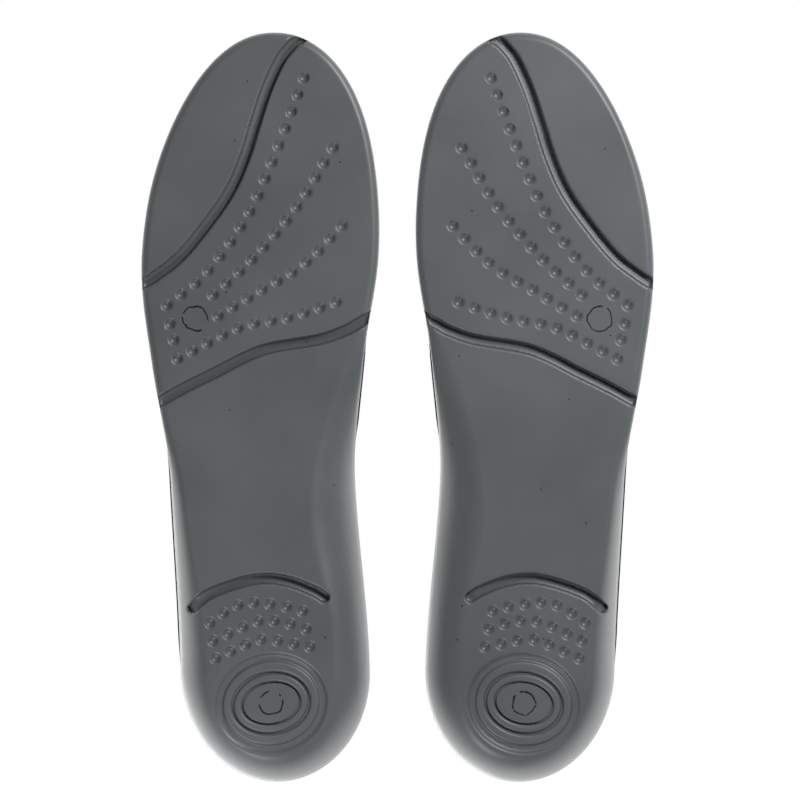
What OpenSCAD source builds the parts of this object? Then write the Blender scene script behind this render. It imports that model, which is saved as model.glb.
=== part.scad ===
// A pair of cushioned insoles, lying foot side up: a moulded foam base with flex grooves, an oval
// ringed heel pad set flush in it, a cushion foam layer and a cloth top cover on each.
// Millimetres. +Z is the foot side, +Y points to the toes, and the right insole is on +X.
// The origin is on the floor, at the middle of the pair's bounding box.

/* [Outline] */
// Length of one insole, heel to toe
insole_length = 270; // [225:1:324]
// Width at the ball of the foot, the widest place
ball_width = 85; // [70:1:102]
// Width at the waist, under the arch
waist_width = 66; // [55:1:80]
// Width at the heel
heel_width = 68; // [56:1:82]
// Gap between the two insoles where they come closest
pair_gap = 13.4; // [4:0.2:60]

/* [Thickness] */
// Moulded base at the forefoot
base_t = 3.6; // [3:0.1:6]
// Moulded base at the middle of the heel
heel_base_t = 5; // [4.2:0.1:8]
// Cushion foam layer
foam_t = 1.8; // [1:0.1:4]
// Cloth top cover
cover_t = 0.8; // [0.6:0.1:1.5]
// Wall of the moulded base at its rim
rim_wall = 2; // [1.5:0.1:3]

/* [Cup and arch] */
// Height of the rim round the back of the heel
heel_rim_h = 20; // [16:0.5:26]
// Height of the rim at the top of the arch
arch_rim_h = 22; // [16:0.5:28]
// Height of the outer rim at the midfoot
outer_rim_h = 13; // [11:0.5:18]
// Width of the slope under the heel's outer and back rim
heel_flare = 10; // [6:0.5:12]
// Width of the slope under the heel's inner rim
inner_flare = 13; // [8:0.5:14]
// Width of the slope under the arch
arch_flare = 17; // [10:0.5:20]
// Width of the rounding under the forefoot's edge
edge_flare = 2.5; // [1.5:0.1:4]
// Width of the curve from the footbed up to the rim
bowl_w = 18; // [12:0.5:22]

/* [Flex lines] */
// Gap between two segments at a flex line
flex_gap = 1; // [0.8:0.1:1.5]
// Width of the moulded grooves
groove_w = 3.6; // [2.5:0.1:5]
// Depth of the moulded grooves
groove_d = 1.8; // [1:0.1:2.2]

/* [Heel pad] */
// Length of the oval pad, across the heel
pad_len = 39; // [30:0.5:41]
// Width of the oval pad, along the heel
pad_wid = 33; // [26:0.5:35]
// Thickness of the pad
pad_t = 2.2; // [1.6:0.1:3]
// Gap round the pad in its pocket
pad_clear = 0.15; // [0.1:0.05:0.4]
// Turn of the oval about its centre, in degrees
pad_tilt = 10; // [0:1:20]
// Width of each ring channel in the pad
channel_w = 1.4; // [1:0.1:1.8]
// Distance from one ring channel to the next
channel_pitch = 3.3; // [2.6:0.1:3.6]
// Depth of the ring channels
channel_d = 0.8; // [0.4:0.1:1.2]

/* [Hidden] */

base_color = "#5b5e61";
pad_color = "#5f6265";
foam_color = "#2e3033";
cover_color = "#1d1e20";

right = 1;
left = -1;

// Where each place lies along the length, as a share of it
heel_at = 0.148;
waist_at = 0.40;
ball_at = 0.704;
// A height that nothing in the model reaches
above_all = 60;
// How far a cut runs past what it cuts
past = 1;
// Middle of the part, front to back
mid_y = insole_length / 2;

// ---- Curves ----

// Slope of a smooth curve through [place, value] points at point i, level at a peak or a flat
function rise_to(p, i) = (p[i + 1][1] - p[i][1]) / (p[i + 1][0] - p[i][0]);
function slope(p, i) =
    i == 0 || i == len(p) - 1 ? 0 :
    let (a = rise_to(p, i - 1), b = rise_to(p, i))
    a * b <= 0 ? 0 : 2 * a * b / (a + b);

// Value at place s of the smooth curve through the points of p
function smooth(p, s) =
    s <= p[0][0] ? p[0][1] :
    s >= p[len(p) - 1][0] ? p[len(p) - 1][1] :
    let (i = max([for (k = [0 : len(p) - 2]) if (p[k][0] <= s) k]),
         w = p[i + 1][0] - p[i][0],
         t = (s - p[i][0]) / w)
    p[i][1] * (2 * pow(t, 3) - 3 * pow(t, 2) + 1)
    + p[i + 1][1] * (3 * pow(t, 2) - 2 * pow(t, 3))
    + w * slope(p, i) * (pow(t, 3) - 2 * pow(t, 2) + t)
    + w * slope(p, i + 1) * (pow(t, 3) - pow(t, 2));

// Sideways bow of the centre line from the heel's middle, at each share of the length
bow = [[0, -0.5], [heel_at, 0], [waist_at, 4.3], [0.59, 6.4], [0.76, 4.4], [1, 0.2]];

// Half-widths: a round heel, a waist, and a long oval from the ball to the toe tip
widths = [[heel_at, heel_width / 2], [waist_at, waist_width / 2],
          [0.555, waist_width * 0.23 + ball_width * 0.265], [ball_at, ball_width / 2]];
function half(s) =
    s < heel_at ? heel_width / 2 * sqrt(max(0, 1 - pow(1 - s / heel_at, 2))) :
    s > ball_at ? ball_width / 2 * pow(max(0, 1 - pow((s - ball_at) / (1 - ball_at), 2)), 0.475) :
    smooth(widths, s);

// The inner edge comes to half the pair's gap where it reaches furthest in
centre_x = pair_gap / 2 + max([for (s = [0 : 0.01 : 1]) half(s) - smooth(bow, s)]);
function middle(s) = centre_x + smooth(bow, s);

// A place on the insole: across is -1 at the inner edge and 1 at the outer one
function place(s, across) = [middle(s) + across * half(s), s * insole_length];

// Slope width under the rim, and the rim's height, on the inner (-1) and the outer (1) side
flare_inner = [[0, heel_flare], [0.1, inner_flare], [0.2, inner_flare], [0.34, arch_flare],
               [0.45, arch_flare * 0.78], [0.56, arch_flare * 0.4], [0.61, edge_flare], [1, edge_flare]];
flare_outer = [[0, heel_flare], [0.15, heel_flare], [0.35, heel_flare * 0.55],
               [0.5, edge_flare], [1, edge_flare]];
function flare(s, across) = smooth(across < 0 ? flare_inner : flare_outer, s);

fore_h = base_t + foam_t + cover_t;
heel_h = heel_base_t + foam_t + cover_t;
rim_inner = [[0, heel_rim_h], [0.2, heel_rim_h], [0.36, arch_rim_h], [0.5, arch_rim_h * 0.55],
             [0.58, fore_h], [1, fore_h]];
rim_outer = [[0, heel_rim_h], [0.15, heel_rim_h], [0.36, outer_rim_h], [0.48, fore_h], [1, fore_h]];
bed = [[0, heel_h], [heel_at, heel_h], [0.46, fore_h], [1, fore_h]];
function rim_height(s, across) = smooth(across < 0 ? rim_inner : rim_outer, s);

// ---- Outline stations, closer together where the ends are round ----

end_steps = 7;
mid_steps = 14;
toe_steps = 11;
stations = concat(
    [for (i = [0 : end_steps - 1]) heel_at * (1 - cos(90 * i / end_steps))],
    [for (i = [0 : mid_steps - 1]) heel_at + (ball_at - heel_at) * i / mid_steps],
    [for (i = [0 : toe_steps]) ball_at + (1 - ball_at) * sin(90 * i / toe_steps)]);
last = len(stations) - 1;
// The loop runs up the inner edge from the heel and back down the outer one
loop = concat(
    [for (i = [0 : last]) [stations[i], -1]],
    [for (i = [last - 1 : -1 : 1]) [stations[i], 1]]);

// The line that the slopes face: the centre line without its two round ends
spine_end = 0.87;
function spine(s) = let (c = min(max(s, heel_at), spine_end)) [middle(c), c * insole_length];

// A point of the loop moved in from the edge by d
function inset(q, d) =
    let (edge = place(q[0], q[1]), way = spine(q[0]) - edge) edge + way / norm(way) * d;

// ---- Surfaces, each a list of rings from the rim to the inside ----

under_rings = [0, 0.33, 0.66, 1];
top_rings = [0, 0.25, 0.5, 0.75, 1];

// Underside: from the rim's lower edge down the slope to the flat sole
function under_ring(r) = [for (q = loop)
    let (rise = rim_height(q[0], q[1]) - cover_t - foam_t - rim_wall,
         p = inset(q, r * flare(q[0], q[1])))
    [p[0], p[1], rise * pow(1 - r, 1.3)]];

// Footbed, lowered by drop: from the rim down the bowl to the bed
function top_ring(r, drop) = [for (q = loop)
    let (floor_h = smooth(bed, q[0]),
         p = inset(q, r * bowl_w))
    [p[0], p[1], floor_h + (rim_height(q[0], q[1]) - floor_h) * pow(1 - r, 2) - drop]];

under = [for (r = under_rings) under_ring(r)];
function top(drop) = [for (r = top_rings) top_ring(r, drop)];

// ---- A closed layer between two surfaces ----

n = len(loop);
function band(a, b) = [for (j = [0 : n - 1]) let (k = (j + 1) % n)
    each [[a + j, a + k, b + k], [a + j, b + k, b + j]]];
function cap(a) = concat(
    [[a, a + 1, a + n - 1]],
    [for (i = [1 : last - 2]) each [[a + i, a + i + 1, a + n - i - 1], [a + i, a + n - i - 1, a + n - i]]],
    [[a + last - 1, a + last, a + last + 1]]);
function skin_faces(from, rings) = concat(
    [for (k = [0 : rings - 2]) each band(from + k * n, from + (k + 1) * n)],
    cap(from + (rings - 1) * n));
function turned(faces) = [for (f = faces) [f[2], f[1], f[0]]];

module layer(lower, upper) {
    split = len(lower) * n;
    polyhedron(
        points = [for (ring = concat(lower, upper)) each ring],
        faces = concat(
            turned(skin_faces(0, len(lower))),
            skin_faces(split, len(upper)),
            turned(band(0, split))));
}

// ---- Grooves and flex lines ----

// Points of the three grooves as [share of the length, across]
toe_line = [[1.008, -1.6], [0.9905, -0.74], [0.9787, -0.31], [0.9616, -0.09], [0.924, 0.07],
            [0.88, 0.146], [0.8375, 0.20], [0.795, 0.285], [0.7575, 0.417], [0.7048, 0.661],
            [0.676, 0.883], [0.664, 1.02], [0.648, 1.3]];
ball_line = [[0.65, -1.3], [0.613, -0.92], [0.6027, -0.80], [0.591, -0.57], [0.580, -0.13],
             [0.567, 0.12], [0.548, 0.39], [0.528, 0.70], [0.509, 0.98], [0.49, 1.3]];
heel_line = [[0.233, 0.84], [0.2515, 0.66], [0.2675, 0.30], [0.2725, 0.04], [0.268, -0.22],
             [0.2555, -0.48], [0.244, -0.62]];

// Past an end of the insole the half-width is taken where the outline still has one
function line_point(p) =
    let (s = min(p[0], 0.99)) [middle(s) + p[1] * half(s), p[0] * insole_length];
steps = 3;
function between(a, b, c, d, t) =
    0.5 * (2 * b + (c - a) * t + (2 * a - 5 * b + 4 * c - d) * t * t
           + (3 * b - 3 * c + d - a) * t * t * t);
function curve(line) =
    let (p = [for (q = line) line_point(q)], e = len(p) - 1)
    concat(
        [for (i = [0 : e - 1], k = [0 : steps - 1])
            between(p[max(i - 1, 0)], p[i], p[i + 1], p[min(i + 2, e)], k / steps)],
        [p[e]]);
// The curve moved sideways by d, to the left of its own direction
function beside(c, d) = [for (i = [0 : len(c) - 1])
    let (t = c[min(i + 1, len(c) - 1)] - c[max(i - 1, 0)])
    c[i] + [-t[1], t[0]] / norm(t) * d];
function back_to_front(p) = [for (i = [len(p) - 1 : -1 : 0]) p[i]];

toe_curve = curve(toe_line);
ball_curve = curve(ball_line);
heel_curve = curve(heel_line);
far = insole_length * 1.2;

module groove(c) {
    translate([0, 0, -past])
        linear_extrude(groove_d + past)
            polygon(concat(beside(c, groove_w / 2), back_to_front(beside(c, -groove_w / 2))));
}

// The plan areas of the three segments, with the flex gap between them
module rear_area() {
    polygon(concat(beside(ball_curve, -flex_gap / 2), [[far, -past], [-far, -past]]));
}
module ball_area() {
    polygon(concat(beside(ball_curve, flex_gap / 2), back_to_front(beside(toe_curve, -flex_gap / 2)),
                   [[-far, far]]));
}
module toe_area() {
    polygon(concat(beside(toe_curve, flex_gap / 2), [[far, toe_curve[len(toe_curve) - 1][1]], [far, far]]));
}
module segment(area) {
    translate([0, 0, -past])
        linear_extrude(above_all)
            if (area == "rear") rear_area();
            else if (area == "ball") ball_area();
            else toe_area();
}

module on_side(side) {
    translate([0, -mid_y, 0])
        mirror([side == left ? 1 : 0, 0, 0])
            children();
}

// ---- Heel pad ----

pad_at = 0.103;
pad_off = 2.2;
pad_x = middle(pad_at) + pad_off;
pad_y = pad_at * insole_length;
oval_sides = 48;
module oval(grow) {
    translate([pad_x, pad_y])
        rotate(-pad_tilt)
            polygon([for (i = [0 : oval_sides - 1]) let (a = 360 * i / oval_sides)
                [(pad_len / 2 + grow) * cos(a), (pad_wid / 2 + grow) * sin(a)]]);
}
module ring_channel(at) {
    translate([0, 0, -past])
        linear_extrude(channel_d + past)
            difference() {
                oval(-at);
                oval(-at - channel_w);
            }
}

// ---- Sub-parts ----

module base(side, area) {
    color(base_color)
        on_side(side)
            difference() {
                intersection() {
                    layer(under, top(foam_t + cover_t));
                    segment(area);
                }
                if (area != "rear") groove(toe_curve);
                if (area != "toe") groove(ball_curve);
                if (area == "rear") {
                    groove(heel_curve);
                    translate([0, 0, -past]) linear_extrude(pad_t + past) oval(pad_clear);
                }
            }
}

module heel_pad(side) {
    color(pad_color)
        on_side(side)
            difference() {
                linear_extrude(pad_t) oval(0);
                for (k = [1 : 3]) ring_channel(k * channel_pitch - channel_w / 2);
            }
}

module foam(side, area) {
    color(foam_color)
        on_side(side)
            intersection() {
                layer(top(foam_t + cover_t), top(cover_t));
                segment(area);
            }
}

module cover(side, area) {
    color(cover_color)
        on_side(side)
            intersection() {
                layer(top(cover_t), top(0));
                segment(area);
            }
}

base(right, "rear");  // right_rear_base
heel_pad(right);  // right_heel_pad
foam(right, "rear");  // right_rear_foam
cover(right, "rear");  // right_rear_cover
base(right, "ball");  // right_ball_base
foam(right, "ball");  // right_ball_foam
cover(right, "ball");  // right_ball_cover
base(right, "toe");  // right_toe_base
foam(right, "toe");  // right_toe_foam
cover(right, "toe");  // right_toe_cover
base(left, "rear");  // left_rear_base
heel_pad(left);  // left_heel_pad
foam(left, "rear");  // left_rear_foam
cover(left, "rear");  // left_rear_cover
base(left, "ball");  // left_ball_base
foam(left, "ball");  // left_ball_foam
cover(left, "ball");  // left_ball_cover
base(left, "toe");  // left_toe_base
foam(left, "toe");  // left_toe_foam
cover(left, "toe");  // left_toe_cover
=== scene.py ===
"""A pair of cushioned insoles, seen from under their soles: moulded foam bases with flex grooves and
dimples, ringed heel pads, a cushion foam layer and a knit top cover on each."""
import math

import bmesh
import bpy
import numpy as np
from mathutils import Matrix, Vector


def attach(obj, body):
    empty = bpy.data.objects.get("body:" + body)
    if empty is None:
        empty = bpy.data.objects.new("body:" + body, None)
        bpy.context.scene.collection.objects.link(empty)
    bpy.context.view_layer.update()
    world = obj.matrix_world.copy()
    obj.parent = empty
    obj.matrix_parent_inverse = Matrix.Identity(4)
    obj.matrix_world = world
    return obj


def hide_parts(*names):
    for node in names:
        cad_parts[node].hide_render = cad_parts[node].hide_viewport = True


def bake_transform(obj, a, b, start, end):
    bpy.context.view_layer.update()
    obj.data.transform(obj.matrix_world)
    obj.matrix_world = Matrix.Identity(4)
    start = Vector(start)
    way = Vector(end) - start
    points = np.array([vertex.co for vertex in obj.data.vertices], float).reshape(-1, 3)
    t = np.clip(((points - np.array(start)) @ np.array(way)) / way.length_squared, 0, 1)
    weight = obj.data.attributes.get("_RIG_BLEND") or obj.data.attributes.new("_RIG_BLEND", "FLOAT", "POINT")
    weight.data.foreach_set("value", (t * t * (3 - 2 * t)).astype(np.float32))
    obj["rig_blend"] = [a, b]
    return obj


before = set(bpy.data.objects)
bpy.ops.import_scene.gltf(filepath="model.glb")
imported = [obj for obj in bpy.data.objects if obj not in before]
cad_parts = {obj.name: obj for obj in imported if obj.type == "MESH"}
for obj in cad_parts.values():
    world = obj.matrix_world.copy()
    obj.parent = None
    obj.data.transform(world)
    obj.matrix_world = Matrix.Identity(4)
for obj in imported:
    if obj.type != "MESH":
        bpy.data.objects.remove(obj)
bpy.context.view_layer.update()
MM = 0.001

# ---- Camera: a long lens under the pair, looking straight up at the two soles, toes at the top ----
camera = bpy.data.objects.new("camera", bpy.data.cameras.new("camera"))
bpy.context.scene.collection.objects.link(camera)
bpy.context.scene.camera = camera
CAMERA_AWAY = 4.0
FRAME_WIDTH = 288 * MM
camera.data.sensor_width = 36
camera.data.lens = camera.data.sensor_width * CAMERA_AWAY / FRAME_WIDTH
camera.location = (-0.9 * MM, 2.8 * MM, -CAMERA_AWAY)
camera.data.clip_end = 20
camera.rotation_euler = (math.pi, 0, math.pi)

# ---- Studio: a pale floor, a bright tent behind the pair and soft lamps on both sides of it ----
bpy.context.scene.view_settings.view_transform = "Standard"


def linear(hex_colour):
    """An sRGB hex colour as the linear RGBA that shaders take."""
    parts = [int(hex_colour[i:i + 2], 16) / 255 for i in (1, 3, 5)]
    return (*[c / 12.92 if c <= 0.04045 else ((c + 0.055) / 1.055) ** 2.4 for c in parts], 1)


def node(tree, kind, feeds=(), stops=(), **settings):
    """Adds a node. feeds are (input, the socket or value it takes), stops are a colour ramp's places and
    colours, and settings are the node's other properties and inputs by name."""
    made = tree.nodes.new(kind)
    for name, value in settings.items():
        if hasattr(made, name):
            setattr(made, name, value)
        else:
            made.inputs[name.replace("_", " ")].default_value = value
    for name, source in feeds:
        if isinstance(source, bpy.types.NodeSocket):
            tree.links.new(source, made.inputs[name])
        else:
            made.inputs[name].default_value = source
    while len(stops) > len(made.color_ramp.elements if stops else ()):
        made.color_ramp.elements.new(0.5)
    for at, (place_on, colour) in enumerate(stops):
        made.color_ramp.elements[at].position = place_on
        made.color_ramp.elements[at].color = linear(colour)
    return made


def new_material(name):
    made = bpy.data.materials.new(name)
    made.use_nodes = True
    made.node_tree.nodes.clear()
    return made, made.node_tree


# The tent: white above the pair, so behind it for the camera, greyer round the horizon and below
world = bpy.data.worlds.new("studio_tent")
bpy.context.scene.world = world
world.use_nodes = True
world.node_tree.nodes.clear()
sky = world.node_tree
direction = node(sky, "ShaderNodeTexCoord").outputs["Generated"]
height = node(sky, "ShaderNodeSeparateXYZ", [("Vector", direction)]).outputs["Z"]
share = node(sky, "ShaderNodeMapRange", [("Value", height)], From_Min=-1.0, From_Max=1.0)
tent = node(sky, "ShaderNodeValToRGB", [("Fac", share.outputs["Result"])],
            [(0.0, "#1a1a1b"), (0.30, "#2a2a2b"), (0.43, "#80807e"), (0.56, "#b8b8b5"), (0.8, "#ffffff")])
glow = node(sky, "ShaderNodeBackground", [("Color", tent.outputs["Color"])], Strength=2.6)
pale = node(sky, "ShaderNodeValToRGB", [("Fac", share.outputs["Result"])],
            [(0.5, "#efefed"), (0.7, "#ffffff")])
backdrop = node(sky, "ShaderNodeBackground", [("Color", pale.outputs["Color"])], Strength=1.0)
watched = node(sky, "ShaderNodeLightPath").outputs["Is Camera Ray"]
around = node(sky, "ShaderNodeMixShader", [(0, watched), (1, glow.outputs["Background"]),
                                           (2, backdrop.outputs["Background"])])
node(sky, "ShaderNodeOutputWorld", [("Surface", around.outputs["Shader"])])


def lamp(name, place_at, aim_at, size, watts):
    made = bpy.data.objects.new(name, bpy.data.lights.new(name, "AREA"))
    bpy.context.scene.collection.objects.link(made)
    made.data.size = size
    made.data.energy = watts
    made.location = place_at
    made.rotation_euler = (Vector(aim_at) - Vector(place_at)).to_track_quat("-Z", "Y").to_euler()
    made.visible_camera = False


lamp("key_from_toes", (-0.36, 0.36, -0.53), (0, 0, 0), 0.16, 5.0)
lamp("fill_at_heels", (0.2, -0.42, -0.27), (0, -0.12, 0), 0.2, 1.2)
lamp("top_soft", (0.5, -0.5, 1.4), (0, 0, 0), 1.0, 10)

# The floor is seen from above only: from below, and for every light, it is not there
floor_bm = bmesh.new()
bmesh.ops.create_grid(floor_bm, x_segments=1, y_segments=1, size=3)
floor_mesh = bpy.data.meshes.new("floor")
floor_bm.to_mesh(floor_mesh)
floor_bm.free()
floor = bpy.data.objects.new("floor", floor_mesh)
floor_mesh.transform(Matrix.Translation((0, 0, -0.2 * MM)))
bpy.context.scene.collection.objects.link(floor)
floor_paint, tree = new_material("pale_floor")
seen = node(tree, "ShaderNodeLightPath").outputs["Is Camera Ray"]
under = node(tree, "ShaderNodeNewGeometry").outputs["Backfacing"]
front = node(tree, "ShaderNodeMath", [(0, seen), (1, under)], operation="SUBTRACT", use_clamp=True)
matt = node(tree, "ShaderNodeBsdfDiffuse", Color=linear("#d2d2d0"))
clear = node(tree, "ShaderNodeBsdfTransparent")
both = node(tree, "ShaderNodeMixShader", [(0, front.outputs["Value"]), (1, clear.outputs["BSDF"]),
                                          (2, matt.outputs["BSDF"])])
node(tree, "ShaderNodeOutputMaterial", [("Surface", both.outputs["Shader"])])
floor_mesh.materials.append(floor_paint)

# ---- Moulded bases ----
# One moulding of grey polyurethane foam a foot, 270 mm long: a flat sole with slopes up to a heel cup
# and an arch, two flex grooves from edge to edge, a blind groove before the heel, and dimples.
# It is cut in two in the bottom of the toe groove, so that the toe panel can lift by itself.
LENGTH, BALL_W, WAIST_W, HEEL_W, PAIR_GAP = 270, 85, 66, 68, 13.4
BASE_T, HEEL_BASE_T, FOAM_T, COVER_T, RIM_WALL = 3.6, 5, 1.8, 0.8, 2
HEEL_RIM, ARCH_RIM, OUTER_RIM = 20, 22, 13
HEEL_FLARE, INNER_FLARE, ARCH_FLARE, EDGE_FLARE, BOWL = 10, 13, 17, 2.5, 18
HEEL_AT, BALL_AT, SPINE_END = 0.148, 0.704, 0.87
FORE_H = BASE_T + FOAM_T + COVER_T
HEEL_H = HEEL_BASE_T + FOAM_T + COVER_T


def through(points, at):
    """Smooth curve through [place, value] points, level at a peak or a flat."""
    p = np.array(points, float)
    at = np.clip(at, p[0, 0], p[-1, 0])
    rise = np.diff(p[:, 1]) / np.diff(p[:, 0])
    before, after = rise[:-1], rise[1:]
    same_way = before * after > 0
    slope = np.zeros(len(p))
    slope[1:-1][same_way] = 2 * (before * after)[same_way] / (before + after)[same_way]
    i = np.clip(np.searchsorted(p[:, 0], at, side="right") - 1, 0, len(p) - 2)
    wide = p[i + 1, 0] - p[i, 0]
    t = (at - p[i, 0]) / wide
    return (p[i, 1] * (2 * t ** 3 - 3 * t ** 2 + 1) + p[i + 1, 1] * (3 * t ** 2 - 2 * t ** 3)
            + wide * (slope[i] * (t ** 3 - 2 * t ** 2 + t) + slope[i + 1] * (t ** 3 - t ** 2)))


BOW = [[0, -0.5], [HEEL_AT, 0], [0.40, 4.3], [0.59, 6.4], [0.76, 4.4], [1, 0.2]]
WIDTHS = [[HEEL_AT, HEEL_W / 2], [0.40, WAIST_W / 2], [0.555, WAIST_W * 0.23 + BALL_W * 0.265],
          [BALL_AT, BALL_W / 2]]


def half_width(s):
    heel = HEEL_W / 2 * np.sqrt(np.clip(1 - (1 - np.minimum(s, HEEL_AT) / HEEL_AT) ** 2, 0, 1))
    toe = BALL_W / 2 * np.clip(1 - ((s - BALL_AT) / (1 - BALL_AT)) ** 2, 0, 1) ** 0.475
    return np.where(s < HEEL_AT, heel, np.where(s > BALL_AT, toe, through(WIDTHS, s)))


shares = np.linspace(0, 1, 101)
CENTRE_X = PAIR_GAP / 2 + (half_width(shares) - through(BOW, shares)).max()


def on_plan(s, across):
    """A place on the right insole, in mm: s runs from heel to toe, across from -1 inside to 1 outside."""
    return np.stack([CENTRE_X + through(BOW, s) + across * half_width(s), (s - 0.5) * LENGTH], -1)


def rim_height(s, side):
    inner = [[0, HEEL_RIM], [0.2, HEEL_RIM], [0.36, ARCH_RIM], [0.5, ARCH_RIM * 0.55],
             [0.58, FORE_H], [1, FORE_H]]
    outer = [[0, HEEL_RIM], [0.15, HEEL_RIM], [0.36, OUTER_RIM], [0.48, FORE_H], [1, FORE_H]]
    return np.where(side < 0, through(inner, s), through(outer, s))


def flare_width(s, side):
    inner = [[0, HEEL_FLARE], [0.1, INNER_FLARE], [0.2, INNER_FLARE], [0.34, ARCH_FLARE],
             [0.45, ARCH_FLARE * 0.78], [0.56, ARCH_FLARE * 0.4], [0.61, EDGE_FLARE], [1, EDGE_FLARE]]
    outer = [[0, HEEL_FLARE], [0.15, HEEL_FLARE], [0.35, HEEL_FLARE * 0.55], [0.5, EDGE_FLARE],
             [1, EDGE_FLARE]]
    return np.where(side < 0, through(inner, s), through(outer, s))


def columns(spacing):
    """Places round the outline, heel to toe up the inner edge and back: share of the length, side."""
    s = (1 - np.cos(np.linspace(0, math.pi, 4001))) / 2
    run = np.zeros(len(s))
    for side in (-1, 1):
        steps = np.linalg.norm(np.diff(on_plan(s, side), axis=0), axis=1)
        run[1:] += np.cumsum(steps) / 2
    even = np.interp(np.linspace(0, run[-1], round(run[-1] / spacing) + 1), run, s)
    return (np.r_[even, even[-2::-1]], np.r_[-np.ones(len(even)), np.ones(len(even) - 1)])


def shell(name, spacing, rows, place_rows):
    """A closed skin round the insole. Its grid's columns run round the outline, and its rows from the
    spine of the underside, over the rim, to the spine of the top. place_rows gives the places in mm."""
    s, side = columns(spacing)
    bm = bmesh.new()
    bmesh.ops.create_grid(bm, x_segments=len(s) - 1, y_segments=len(rows) - 1, size=0.5)
    mesh = bpy.data.meshes.new(name)
    bm.to_mesh(mesh)
    bm.free()
    flat = np.zeros(len(mesh.vertices) * 3, np.float32)
    mesh.vertices.foreach_get("co", flat)
    flat = flat.reshape(-1, 3)
    column = np.rint((flat[:, 0] + 0.5) * (len(s) - 1)).astype(int)
    row = np.rint((flat[:, 1] + 0.5) * (len(rows) - 1)).astype(int)
    s, side = s[column], side[column]
    level, w = np.array(rows, float)[row].T
    edge = on_plan(s, side)
    spine = on_plan(np.clip(s, HEEL_AT, SPINE_END), 0)
    away = np.linalg.norm(spine - edge, axis=1)
    outward = (edge - spine) / np.maximum(away, 1e-9)[:, None]
    plan = edge + (spine - edge) * np.clip(w, 0, 1)[:, None]
    place = place_rows(plan, s, side, level, w, away * w, outward)
    mesh.vertices.foreach_set("co", (place * MM).astype(np.float32).ravel())
    for layer, values in (("level", level), ("inset", away * w), ("pressed", 0 * w)):
        mesh.attributes.new(layer, "FLOAT", "POINT").data.foreach_set("value", values.astype(np.float32))
    bm = bmesh.new()
    bm.from_mesh(mesh)
    bpy.data.meshes.remove(mesh)
    bmesh.ops.remove_doubles(bm, verts=bm.verts, dist=0.002 * MM)
    bmesh.ops.dissolve_degenerate(bm, edges=bm.edges, dist=0.001 * MM)
    bmesh.ops.recalc_face_normals(bm, faces=bm.faces)
    return bm


def curve_through(points, spacing=0.4):
    """A smooth line through plan points in mm, as close, even points."""
    p = np.array(points, float)
    run = np.r_[0, np.cumsum(np.linalg.norm(np.diff(p, axis=0), axis=1))]
    ends = np.vstack([2 * p[0] - p[1], p, 2 * p[-1] - p[-2]])
    line = []
    for i in range(len(p) - 1):
        a, b, c, d = ends[i:i + 4]
        t = np.linspace(0, 1, 40, endpoint=False)[:, None]
        line.append(0.5 * (2 * b + (c - a) * t + (2 * a - 5 * b + 4 * c - d) * t ** 2
                           + (3 * b - 3 * c + d - a) * t ** 3))
    line = np.vstack([*line, p[-1:]])
    run = np.r_[0, np.cumsum(np.linalg.norm(np.diff(line, axis=0), axis=1))]
    even = np.linspace(0, run[-1], max(2, round(run[-1] / spacing)) + 1)
    return np.stack([np.interp(even, run, line[:, 0]), np.interp(even, run, line[:, 1])], -1)


def on_lines(points):
    """Plan points from [share of the length, across]."""
    return [on_plan(np.float64(min(s, 0.99)), a) * (1, 0) + (0, (s - 0.5) * LENGTH) for s, a in points]


TOE_LINE = curve_through(on_lines([
    [1.008, -1.6], [0.9905, -0.74], [0.9787, -0.31], [0.9616, -0.09], [0.924, 0.07], [0.88, 0.146],
    [0.8375, 0.20], [0.795, 0.285], [0.7575, 0.417], [0.7048, 0.661], [0.676, 0.883], [0.664, 1.02],
    [0.648, 1.3]]))
BALL_LINE = curve_through(on_lines([
    [0.65, -1.3], [0.613, -0.92], [0.6027, -0.80], [0.591, -0.57], [0.580, -0.13],
    [0.567, 0.12], [0.548, 0.39], [0.528, 0.70], [0.509, 0.98], [0.49, 1.3]]))
HEEL_LINE = curve_through(on_lines([
    [0.233, 0.84], [0.2515, 0.66], [0.2675, 0.30], [0.2725, 0.04], [0.268, -0.22],
    [0.2555, -0.47], [0.2475, -0.57]]))


def from_line(plan, line):
    """Each point's distance from a line in mm, its side (1 left, -1 right) and the way off the line."""
    distance = np.full(len(plan), 1e3)
    side = np.ones(len(plan))
    off = np.zeros((len(plan), 2))
    near = np.all((plan > line.min(0) - 6) & (plan < line.max(0) + 6), axis=1)
    along = np.gradient(line, axis=0)
    along /= np.linalg.norm(along, axis=1)[:, None]
    for part in np.array_split(np.flatnonzero(near), max(1, near.sum() // 8000)):
        gap = plan[part][:, None, :] - line[None]
        square = (gap ** 2).sum(-1)
        i = square.argmin(1)
        to = gap[np.arange(len(part)), i]
        left = np.stack([-along[i][:, 1], along[i][:, 0]], -1)
        across = (to * left).sum(-1)
        ended = (i == 0) | (i == len(line) - 1)
        far = np.sqrt(square[np.arange(len(part)), i])
        distance[part] = np.where(ended, far, np.abs(across))
        side[part] = np.where(across >= 0, 1, -1)
        off[part] = np.where(ended[:, None], to / np.maximum(far, 1e-9)[:, None], left * side[part][:, None])
    return distance, side, off


def left_of(plan, line):
    """True where a plan point is to the left of a line that runs right across the insole."""
    far_left = np.full(len(plan), False)
    for part in np.array_split(np.arange(len(plan)), max(1, len(plan) // 8000)):
        gap = plan[part][:, None, :] - line[None, ::4]
        i = (gap ** 2).sum(-1).argmin(1)
        ahead = np.gradient(line[::4], axis=0)[i]
        to = gap[np.arange(len(part)), i]
        far_left[part] = ahead[:, 0] * to[:, 1] - ahead[:, 1] * to[:, 0] > 0
    return far_left


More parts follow.
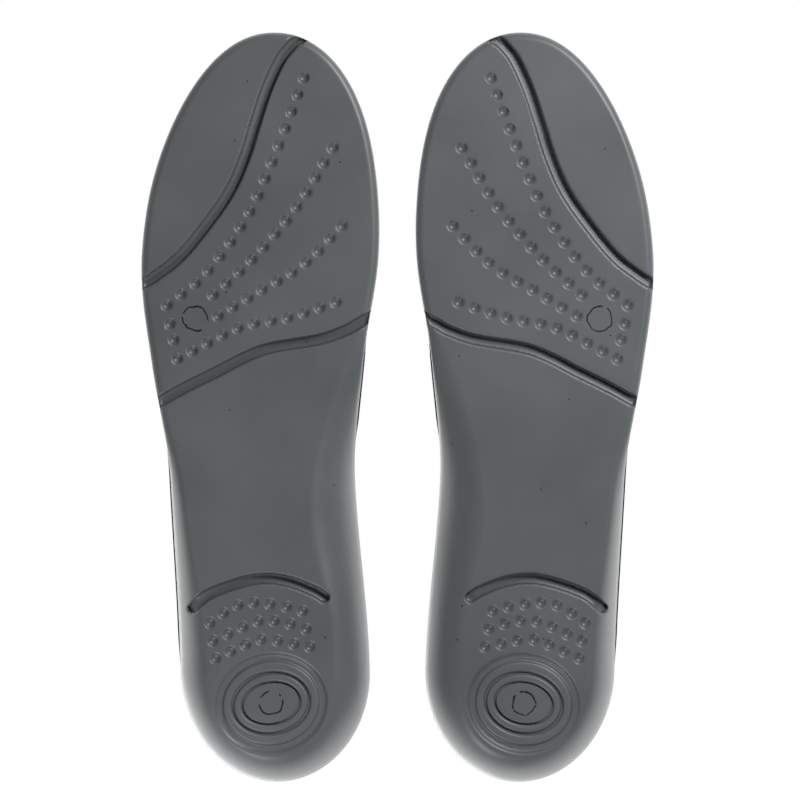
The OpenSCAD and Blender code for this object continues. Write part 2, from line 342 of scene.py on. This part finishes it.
GROOVE_W, GROOVE_DEEP = 4.2, 2.1
GRID = 0.5
DIMPLE_R, DIMPLE_DEEP = 2.05, 1.4
# Rows of dimples on the ball panel and before the heel pad: plan points in mm, and how many
DIMPLE_ROWS = [
    ([(33.7, 118.8), (43.0, 94.0), (53.5, 70.2), (68.2, 49.3), (83.0, 36.9)], 16),
    ([(23.2, 93.6), (36.5, 72.1), (52.5, 53.3), (66.4, 40.7)], 12),
    ([(20.0, 65.5), (33.3, 52.0), (48.8, 42.5), (64.6, 33.1)], 10),
    ([(22.1, 38.0), (39.6, 32.4), (57.1, 28.8), (79.2, 17.6)], 11),
    ([(81.9, 30.2), (80.5, 24.5)], 2),
    ([(67.5, -77.4), (61.8, -73.4), (56.8, -70.8), (51.1, -70.1), (40.1, -71.6), (34.2, -73.1)], 7),
    ([(66.4, -83.9), (50.6, -77.0), (41.0, -77.3), (32.9, -79.6)], 7),
    ([(65.5, -90.2), (49.5, -83.5), (40.0, -84.6), (31.5, -86.0)], 7)]


def dimple_places():
    found = []
    for points, count in DIMPLE_ROWS:
        line = curve_through(points, 0.1)
        found.append(line[np.rint(np.linspace(0, len(line) - 1, count)).astype(int)])
    return np.vstack(found)


def step_up(x):
    x = np.clip(x, 0, 1)
    return x * x * (3 - 2 * x)


PAD_X, PAD_Y, PAD_TILT = 45.5, -106.4, math.radians(-10)
PAD_R, PAD_T, PAD_NARROW = 19.4, 2.2, 2.3
TRENCH = 1.35


def pad_ring(plan):
    """The ring of the heel pad that each point lies on, named by its half length in mm."""
    x, y = plan[:, 0] - PAD_X, plan[:, 1] - PAD_Y
    c, s = math.cos(PAD_TILT), math.sin(PAD_TILT)
    long, short = x * c + y * s, -x * s + y * c
    ring = np.hypot(long, short)
    for _ in range(8):
        ring = np.maximum(np.hypot(long, short * ring / (ring - PAD_NARROW)), 9.8)
    return ring


def sole_dips(plan):
    """Depth of the dimples and the pad's recess, and the plan with points drawn to the dimples' rims."""
    plan = plan.copy()
    deep = np.zeros(len(plan))
    ball = (DIMPLE_R ** 2 + DIMPLE_DEEP ** 2) / (2 * DIMPLE_DEEP)
    for centre in dimple_places():
        to = plan - centre
        r = np.hypot(*to.T)
        draw = (np.abs(r - DIMPLE_R) < GRID * 0.45) & (r > 0)
        plan[draw] += to[draw] / r[draw][:, None] * (DIMPLE_R - r[draw])[:, None]
        r[draw] = DIMPLE_R
        inside = r < DIMPLE_R
        bowl = np.sqrt(ball ** 2 - r[inside] ** 2) - (ball - DIMPLE_DEEP)
        deep[inside] = np.maximum(deep[inside], bowl)
    # Recess round the heel pad, and the pocket that the pad sits in
    ring = pad_ring(plan)
    deep = np.maximum(deep, TRENCH * step_up((20.9 - ring) / 1.7))
    deep = np.where(ring < 18.2, PAD_T + 0.05, deep)
    return plan, deep


def slope_height(s, side, inset):
    """Height of the underside over the floor before anything is pressed into it."""
    rise = rim_height(s, side) - COVER_T - FOAM_T - RIM_WALL
    wide = flare_width(s, side)
    u = np.clip(1 - inset / wide, 0, 1)
    soft = 2.4 / wide
    bevel = (np.sqrt(u ** 2 + soft ** 2) - soft) / (np.sqrt(1 + soft ** 2) - soft)
    hollow = u ** 1.8
    wall = 1 - np.sqrt(np.clip(1 - u ** 2.3, 0, 1))
    narrow = step_up((7 - wide) / 4)
    return rise * (narrow * (0.6 * bevel + 0.4 * wall) + (1 - narrow) * (0.7 * hollow + 0.3 * wall))


def bed_height(s, side, inset, drop):
    """Height of the footbed, lowered by drop: a bowl at the heel and arch, flat under the toes."""
    bed = through([[0, HEEL_H], [HEEL_AT, HEEL_H], [0.46, FORE_H], [1, FORE_H]], s)
    bowl = np.clip(1 - inset / BOWL, 0, 1) ** 2
    return bed + (rim_height(s, side) - bed) * bowl - drop


def base_rows(count_under, count_rim, count_top):
    """Rows of a shell: level 0 is the underside, 1 the rim and 2 the top; the share runs to the spine."""
    return ([(0, w) for w in np.linspace(1, 0, count_under)]
            + [(1, k / (count_rim + 1)) for k in range(1, count_rim + 1)]
            + [(2, w) for w in np.linspace(0, 1, count_top)])


def place_base(plan, s, side, level, w, inset, outward):
    bottom, top = level == 0, level == 2
    moved, deep = sole_dips(plan[bottom])
    plan = plan.copy()
    plan[bottom] = moved
    z = np.zeros(len(plan))
    z[bottom] = slope_height(s, side, inset)[bottom] + deep
    z[top] = bed_height(s, side, inset, FOAM_T + COVER_T)[top]
    rim = level == 1
    low = (slope_height(s, side, 0 * s))[rim]
    high = bed_height(s, side, 0 * s, FOAM_T + COVER_T)[rim]
    edge = on_plan(s[rim], side[rim])
    z[rim] = low + (high - low) * w[rim]
    bulge = 0.2 * np.sin(math.pi * w[rim])
    plan[rim] = edge + outward[rim] * bulge[:, None]
    return np.column_stack([plan, z])


def score(bm, line, offset, only_under):
    """Cuts the skin along the curve that keeps an offset from a line, and gives the points on it."""
    level = bm.verts.layers.float["level"]
    bm.verts.index_update()
    bm.verts.ensure_lookup_table()
    bm.edges.ensure_lookup_table()
    plan = np.array([v.co[:2] for v in bm.verts]) / MM
    usable = np.array([v[level] < 0.5 or not only_under for v in bm.verts])
    distance, side, off = from_line(plan, line)
    past = distance - offset if offset else distance * side
    # A point that is on the curve already, or nearly, is drawn on to it and stays the edge's own
    on_curve = usable & (np.abs(past) < 0.07)
    for i in np.flatnonzero(on_curve):
        bm.verts[i].co.x += off[i][0] * (offset - distance[i]) * MM
        bm.verts[i].co.y += off[i][1] * (offset - distance[i]) * MM
    a, b = np.array([[v.index for v in e.verts] for e in bm.edges]).T
    crossing = (usable[a] & usable[b] & ~on_curve[a] & ~on_curve[b] & (np.abs(past[a]) < 8)
                & (np.abs(past[b]) < 8) & ((past[a] < 0) != (past[b] < 0)))
    cut = [bm.verts[i] for i in np.flatnonzero(on_curve)]
    edges = [bm.edges[i] for i in np.flatnonzero(crossing)]
    for edge, p, q in zip(edges, past[a[crossing]], past[b[crossing]]):
        cut.append(bmesh.utils.edge_split(edge, edge.verts[0], abs(p) / (abs(p) + abs(q)))[1])
    bmesh.ops.connect_verts(bm, verts=cut)
    return cut


def press_groove(bm, line, floor):
    """Presses a groove into the underside: up to the height of floor, or to its own depth without one."""
    lips = score(bm, line, GROOVE_W / 2, True)
    level, inset, pressed = (bm.verts.layers.float[n] for n in ("level", "inset", "pressed"))
    centres = np.array([f.calc_center_median()[:2] for f in bm.faces]) / MM
    inside = from_line(centres, line)[0] < GROOVE_W / 2 - 0.02
    faces = [f for f, kept in zip(bm.faces, inside) if kept and all(v[level] < 0.5 for v in f.verts)]
    grown = bmesh.ops.extrude_face_region(bm, geom=faces)["geom"]
    moved = [g for g in grown if isinstance(g, bmesh.types.BMVert)]
    bmesh.ops.delete(bm, geom=[f for f in faces if f.is_valid], context="FACES")
    for v in lips:
        v.co.z += 0.3 * MM * float(step_up(np.float64(v[inset] / 0.8)))
    distance, _, off = from_line(np.array([v.co[:2] for v in moved]) / MM, line)
    for v, far, way in zip(moved, distance, off):
        if far > GROOVE_W / 2 - 0.15:
            v.co.x -= way[0] * 0.45 * MM
            v.co.y -= way[1] * 0.45 * MM
        deep = max(0, floor * MM - v.co.z) if floor else GROOVE_DEEP * MM
        deep += 0.55 * MM * max(0, 1 - (far / GROOVE_W * 2) ** 2)
        # Marks this point of the groove for the painted groove shade in the foam's colour
        v[pressed] = 1
        v.co.z += deep * float(step_up(np.float64(v[inset] / 0.8)))


def cut_at_toe_line(bm, keep_toe):
    """Half of a shell, cut along the toe groove's middle and closed with a wall there."""
    half = bm.copy()
    centres = np.array([f.calc_center_median()[:2] for f in half.faces]) / MM
    distance, side, _ = from_line(centres, TOE_LINE)
    is_toe = np.where(distance < 5, side > 0, left_of(centres, TOE_LINE))
    gone = [f for f, toe in zip(half.faces, is_toe) if toe != keep_toe]
    bmesh.ops.delete(half, geom=gone, context="FACES")
    for face in half.faces:
        face.smooth = True
    level = half.verts.layers.float["level"]
    lips = [e for e in half.edges if e.is_boundary and round(e.verts[0][level]) == round(e.verts[1][level])
            and round(e.verts[0][level]) != 1]
    walls = bmesh.ops.bridge_loops(half, edges=lips)["faces"]
    ends = [e for e in half.edges if e.is_boundary]
    walls += bmesh.ops.holes_fill(half, edges=ends, sides=0)["faces"]
    for face in walls:
        face.smooth = False
    bmesh.ops.recalc_face_normals(half, faces=half.faces)
    return half


def into_piece(name, bm, mirrored, material):
    """A piece from a right-hand bmesh; mirrored gives the left insole's."""
    own = bm.copy()
    if mirrored:
        bmesh.ops.scale(own, vec=(-1, 1, 1), verts=own.verts)
        bmesh.ops.reverse_faces(own, faces=own.faces)
    mesh = bpy.data.meshes.new(name)
    own.to_mesh(mesh)
    own.free()
    mesh.materials.append(material)
    made = bpy.data.objects.new(name, mesh)
    bpy.context.scene.collection.objects.link(made)
    return made


# Polyurethane foam moulded with a closed skin: a slate grey satin that brightens at grazing angles,
# with faint flow clouds, a fine pebble from the mould and a pinhole here and there. The colour also
# carries painted shade: darker on the groove floors and walls, and near black in the pinholes and the
# mould plugs' ring creases.
foam_skin, tree = new_material("moulded_foam_skin")
where = node(tree, "ShaderNodeTexCoord").outputs["Object"]
clouds = node(tree, "ShaderNodeTexNoise", [("Vector", where)], Scale=1 / (45 * MM), Detail=3.0)
slate = node(tree, "ShaderNodeValToRGB", [("Fac", clouds.outputs["Fac"])],
             [(0.30, "#55585a"), (0.5, "#5a5d5f"), (0.72, "#5f6264")])


def witness(tree, where, x, y, radius, breaks):
    """1 on the thin broken ring that a mould plug leaves on both insoles round a plan point in mm; the ring
    is painted near black for the shade in its fine crease, which is not cut into the surface.
    """
    parts = node(tree, "ShaderNodeSeparateXYZ", [("Vector", where)])
    one_side = node(tree, "ShaderNodeMath", [(0, parts.outputs["X"])], operation="ABSOLUTE")
    flat = node(tree, "ShaderNodeCombineXYZ", [("X", one_side.outputs["Value"]), ("Y", parts.outputs["Y"])])
    away = node(tree, "ShaderNodeVectorMath", [(0, flat.outputs["Vector"]), (1, (x * MM, y * MM, 0))],
                operation="DISTANCE")
    uneven = node(tree, "ShaderNodeTexNoise", [("Vector", where)], Scale=1 / (4.5 * MM), Detail=1.0)
    drift = node(tree, "ShaderNodeMapRange", [("Value", uneven.outputs["Fac"])],
                 To_Min=-1.0 * MM, To_Max=1.0 * MM)
    wander = node(tree, "ShaderNodeMath", [(0, away.outputs["Value"]), (1, drift.outputs["Result"])],
                  operation="ADD")
    ring = node(tree, "ShaderNodeMath", [(0, wander.outputs["Value"]), (1, radius * MM), (2, 0.3 * MM)],
                operation="COMPARE")
    kept = node(tree, "ShaderNodeMath", [(0, uneven.outputs["Fac"]), (1, breaks)], operation="GREATER_THAN")
    return node(tree, "ShaderNodeMath", [(0, ring.outputs["Value"]), (1, kept.outputs["Value"])],
                operation="MULTIPLY").outputs["Value"]


plug_marks = node(tree, "ShaderNodeMath", [
    (0, witness(tree, where, 72.9, 32.0, 4.5, 0.40)),
    (1, witness(tree, where, PAD_X, PAD_Y, 4.2, 0.44))], operation="MAXIMUM")
# A pinhole 0.6 mm across about every 38 mm, painted as a near-black dot for the shade inside the hole
pits = node(tree, "ShaderNodeTexVoronoi", [("Vector", where)], voronoi_dimensions="2D", Scale=1 / (38 * MM))
pit = node(tree, "ShaderNodeMath", [(0, pits.outputs["Distance"]), (1, 0.3 / 38)], operation="LESS_THAN")
painted_shade_marks = node(tree, "ShaderNodeMath", [(0, plug_marks.outputs["Value"]), (1, pit.outputs["Value"])],
                  operation="MAXIMUM")
# Painted shade: the groove floors and walls are darkened in the colour, standing in for the shade that falls
# in the grooves
pressed = node(tree, "ShaderNodeAttribute", attribute_name="pressed").outputs["Fac"]
painted_groove_shade = node(tree, "ShaderNodeMath", [(0, pressed), (1, 0.22)], operation="MULTIPLY")
with_groove_shade = node(tree, "ShaderNodeMix", [("Factor", painted_groove_shade.outputs["Value"]), ("A", slate.outputs["Color"])],
                  data_type="RGBA", B=linear("#2f3032")).outputs["Result"]
# Painted shade: near black over the plug rings and pinholes, which are not cut into the surface
grey = node(tree, "ShaderNodeMix", [("Factor", painted_shade_marks.outputs["Value"]), ("A", with_groove_shade)],
            data_type="RGBA", B=linear("#101112")).outputs["Result"]
pebble = node(tree, "ShaderNodeTexNoise", [("Vector", where)], Scale=1 / (0.9 * MM), Detail=2.0)
waves = node(tree, "ShaderNodeTexNoise", [("Vector", where)], Scale=1 / (9 * MM), Detail=1.0)
rough = node(tree, "ShaderNodeMapRange", [("Value", clouds.outputs["Fac"])], To_Min=0.38, To_Max=0.5)
relief = node(tree, "ShaderNodeBump", [("Height", pebble.outputs["Fac"])], Strength=0.05,
              Distance=0.1 * MM)
relief_2 = node(tree, "ShaderNodeBump", [("Height", waves.outputs["Fac"]),
                                         ("Normal", relief.outputs["Normal"])],
                Strength=0.12, Distance=0.6 * MM)
skin = node(tree, "ShaderNodeBsdfPrincipled", [
    ("Base Color", grey), ("Roughness", rough.outputs["Result"]), ("Normal", relief_2.outputs["Normal"])],
    IOR=1.52)
node(tree, "ShaderNodeOutputMaterial", [("Surface", skin.outputs["BSDF"])])

SIDES = (("right", False), ("left", True))
# Where each hinge bends: the flex line's ends, and how far either side of it a soft piece turns
BALL_ENDS = np.array([(10.4, 33.0), (85.7, 2.2)])
TOE_ENDS = np.array([(33.8, 132.3), (91.7, 46.8)])
BALL_BEND = (-7, 7)
TOE_BEND = (4.6, 15)


def bend(piece, mirrored, first, second, ends, span):
    """Blends a piece over a hinge: it turns between two distances ahead of the line through ends."""
    side = "left" if mirrored else "right"
    middle = ends.mean(0)
    along = (ends[1] - ends[0]) / np.linalg.norm(ends[1] - ends[0])
    ahead = np.array((-along[1], along[0]))
    flip = np.array((-1 if mirrored else 1, 1))
    start, end = ((middle + ahead * d) * flip * MM for d in span)
    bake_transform(piece, f"{side}_{first}", f"{side}_{second}", start=(*start, 0), end=(*end, 0))


def lay_down(part, right_bm, material):
    """Both insoles' pieces of one layer: the long piece over heel and ball, and the toe panel's."""
    made = []
    score(right_bm, TOE_LINE, 0, False)
    for keep_toe, piece_name in ((False, part), (True, "toe_" + part)):
        half = cut_at_toe_line(right_bm, keep_toe)
        for side, mirrored in SIDES:
            piece = into_piece(f"{side}_insole_{piece_name}", half, mirrored, material)
            if keep_toe:
                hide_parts(f"{side}_toe_{part}")
                bend(piece, mirrored, "ball", "toe", TOE_ENDS, TOE_BEND)
            else:
                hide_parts(f"{side}_rear_{part}", f"{side}_ball_{part}")
                bend(piece, mirrored, "rear", "ball", BALL_ENDS, BALL_BEND)
            made.append(piece)
        half.free()
    return made


base_bm = shell("base", GRID, base_rows(78, 4, 7), place_base)
press_groove(base_bm, TOE_LINE, GROOVE_DEEP)
press_groove(base_bm, BALL_LINE, GROOVE_DEEP)
press_groove(base_bm, HEEL_LINE, None)
bases = lay_down("base", base_bm, foam_skin)
base_bm.free()

# ---- Heel pads ----
# A soft oval insert pressed into each heel, 39 by 33 mm, with two ring channels and a flat middle that
# carries the mould plug's witness ring. Turned from one profile and then drawn out to an oval.
# Profile from the middle out: the ring's half length and its depth into the sole, in mm
PAD_PROFILE = [(0, 0.45), (9.1, 0.45), (9.7, 0.55), (10.0, 1.2), (10.4, 1.4), (10.7, 1.1), (11.0, 0.5),
               (11.5, 0.2), (12.6, 0.15), (13.2, 0.4), (13.5, 1.15), (13.9, 1.4), (14.25, 1.1),
               (14.6, 0.4), (15.2, 0.1), (16.5, 0.1), (17.1, 0.35), (17.5, 1.05), (18.0, 1.3),
               (18.7, 1.31), (19.0, 1.42), (PAD_R, 1.7)]
PAD_TURNS = 160
pad_bm = bmesh.new()
spun = [pad_bm.verts.new((r, 0, d)) for r, d in curve_through(PAD_PROFILE, 0.16)]
spun += [pad_bm.verts.new((r, 0, PAD_T)) for r in (PAD_R, PAD_R / 2, 0)]
profile_edges = [pad_bm.edges.new(pair) for pair in zip(spun, spun[1:])]
bmesh.ops.spin(pad_bm, geom=spun + profile_edges, cent=(0, 0, 0), axis=(0, 0, 1),
               angle=math.tau, steps=PAD_TURNS, use_merge=True)
bmesh.ops.remove_doubles(pad_bm, verts=pad_bm.verts, dist=1e-5)
for v in pad_bm.verts:
    ring = math.hypot(v.co.x, v.co.y)
    narrower = 1 - (PAD_NARROW + 0.7 * float(step_up(np.float64((18 - ring) / 4)))) / max(ring, 10.4)
    turned = Matrix.Rotation(PAD_TILT, 4, "Z") @ Vector((v.co.x, v.co.y * narrower, v.co.z))
    v.co = (turned + Vector((PAD_X, PAD_Y, 0))) * MM
for face in pad_bm.faces:
    face.smooth = True
bmesh.ops.recalc_face_normals(pad_bm, faces=pad_bm.faces)
for side, mirrored in SIDES:
    pad = into_piece(f"{side}_insole_heel_pad", pad_bm, mirrored, foam_skin)
    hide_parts(f"{side}_heel_pad")
    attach(pad, f"{side}_rear")
pad_bm.free()

# ---- Cushion foam ----
# A 1.8 mm sheet of dark open-cell foam over each whole base, glued down; only its cut edge shows.
# Cut open-cell polyurethane: dead matt, with painted shade making it near black towards the middle of each
# pore; the pores are 0.5 mm wide
cushion_skin, tree = new_material("open_cell_foam")
where = node(tree, "ShaderNodeTexCoord").outputs["Object"]
cells = node(tree, "ShaderNodeTexVoronoi", [("Vector", where)], Scale=1 / (0.5 * MM))
# Painted shade: darker towards each pore's middle, where the bump dips
shade = node(tree, "ShaderNodeValToRGB", [("Fac", cells.outputs["Distance"])],
             [(0.1, "#1d1e20"), (0.6, "#3a3c3f")])
pores = node(tree, "ShaderNodeBump", [("Height", cells.outputs["Distance"])], Strength=0.5,
             Distance=0.15 * MM)
foam_shader = node(tree, "ShaderNodeBsdfPrincipled", [
    ("Base Color", shade.outputs["Color"]), ("Normal", pores.outputs["Normal"])], Roughness=0.9, IOR=1.4)
node(tree, "ShaderNodeOutputMaterial", [("Surface", foam_shader.outputs["BSDF"])])


def place_layer(low, high, reach):
    """Places a layer between two drops below the footbed, its rim rounded and proud by reach."""
    def place(plan, s, side, level, w, inset, outward):
        z = np.where(level == 2, bed_height(s, side, inset, high), bed_height(s, side, inset, low))
        rim = level == 1
        foot = bed_height(s, side, 0 * s, low)
        z = np.where(rim, foot + (low - high) * w, z)
        inner = step_up((s - 0.45) / 0.04) * step_up((0.6 - s) / 0.04)
        outer = step_up((s - 0.14) / 0.06) * step_up((0.46 - s) / 0.06)
        tall = np.where(side < 0, inner, outer)
        out = np.where(rim, np.sin(math.pi * np.clip(w, 0, 1)) * (0.2 + (reach - 0.2) * tall), 0)
        at_rim = np.where(rim[:, None], on_plan(s, side), plan)
        return np.column_stack([at_rim + outward * out[:, None], z])
    return place


foam_bm = shell("foam", 1.0, base_rows(9, 5, 9), place_layer(FOAM_T + COVER_T, COVER_T, 0.35))
for piece in lay_down("foam", foam_bm, cushion_skin):
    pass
foam_bm.free()

# ---- Top covers ----
# A black polyester knit, 0.8 mm thick, bonded over each cushion and trimmed at the rim, where its cut
# edge shows from below as a thin dark line.
# Knit polyester: matt and almost black, with a fine net of loops, drawn at a coarse 1.5 mm so that it shows;
# its colour is painted darker in the hollows between the loops and lighter on their tops, as shade and light
knit, tree = new_material("black_knit_cloth")
where = node(tree, "ShaderNodeTexCoord").outputs["Object"]
STITCH = 1.5 * MM
loops = node(tree, "ShaderNodeTexWave", [("Vector", where)], Scale=math.tau / 20 / STITCH,
             Distortion=0.6, Detail=1.0, bands_direction="X")
courses = node(tree, "ShaderNodeTexWave", [("Vector", where)], Scale=math.tau / 20 / STITCH,
               Distortion=0.6, Detail=1.0, bands_direction="Y")
cloth_height = node(tree, "ShaderNodeMath", [(0, loops.outputs["Fac"]), (1, courses.outputs["Fac"])],
                    operation="MULTIPLY")
# Painted light and shade: darker where the knit's height is low, lighter where it is high
yarn_with_painted_shade = node(tree, "ShaderNodeValToRGB", [("Fac", cloth_height.outputs["Value"])],
            [(0.0, "#0c0d0e"), (0.8, "#202123")])
weave = node(tree, "ShaderNodeBump", [("Height", cloth_height.outputs["Value"])], Strength=0.35,
             Distance=0.2 * MM)
cloth = node(tree, "ShaderNodeBsdfPrincipled", [
    ("Base Color", yarn_with_painted_shade.outputs["Color"]), ("Normal", weave.outputs["Normal"])],
    Roughness=0.95, Specular_IOR_Level=0.1)
node(tree, "ShaderNodeOutputMaterial", [("Surface", cloth.outputs["BSDF"])])
cover_bm = shell("cover", 0.8, base_rows(7, 5, 30), place_layer(COVER_T, 0, 0.75))
for piece in lay_down("cover", cover_bm, knit):
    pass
cover_bm.free()
